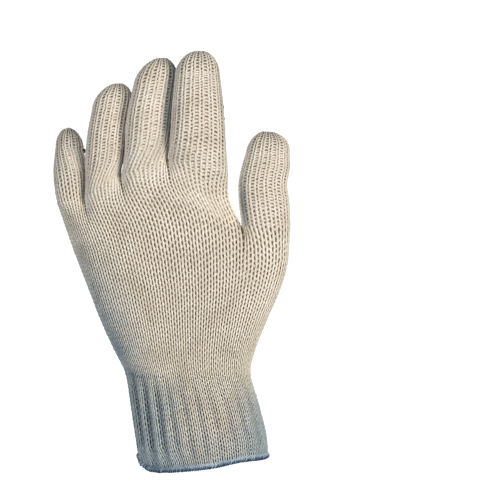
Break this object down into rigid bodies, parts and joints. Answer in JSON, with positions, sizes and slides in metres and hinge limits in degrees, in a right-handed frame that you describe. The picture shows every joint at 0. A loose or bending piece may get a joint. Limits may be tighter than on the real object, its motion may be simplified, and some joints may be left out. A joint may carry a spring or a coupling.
{
  "type": "dotted knit work glove",
  "caption": "Seamless string-knit work glove for the left hand with a ribbed cuff, an overlocked hem and PVC grip dots on its palm side.",
  "frame": {"origin": "middle of the wrist opening, in the plane of its hem", "axes": "+Z from the wrist opening to the fingertips, -Y out of the back of the hand, +Y out of the dotted palm, +X to the thumb"},
  "size_m": [0.1384, 0.0532, 0.2429],
  "materials": {
    "cotton_knit": "matte cream string knit",
    "elastic_knit": "matte cream ribbed knit",
    "hem_thread": "matte pale overlock thread",
    "black_pvc": "semi-gloss black PVC"
  },
  "bodies": {
    "root": {"lower_hand": "cotton_knit", "upper_hand": "cotton_knit", "little_finger": "cotton_knit", "ring_finger": "cotton_knit", "middle_finger": "cotton_knit", "index_finger": "cotton_knit", "thumb": "cotton_knit", "ribbed_cuff": "elastic_knit", "cuff_hem": "hem_thread", "lower_palm_dots": "black_pvc", "upper_palm_dots": "black_pvc", "little_dots": "black_pvc", "ring_dots": "black_pvc", "middle_dots": "black_pvc", "index_dots": "black_pvc", "thumb_dots": "black_pvc"}
  },
  "joints": []
}
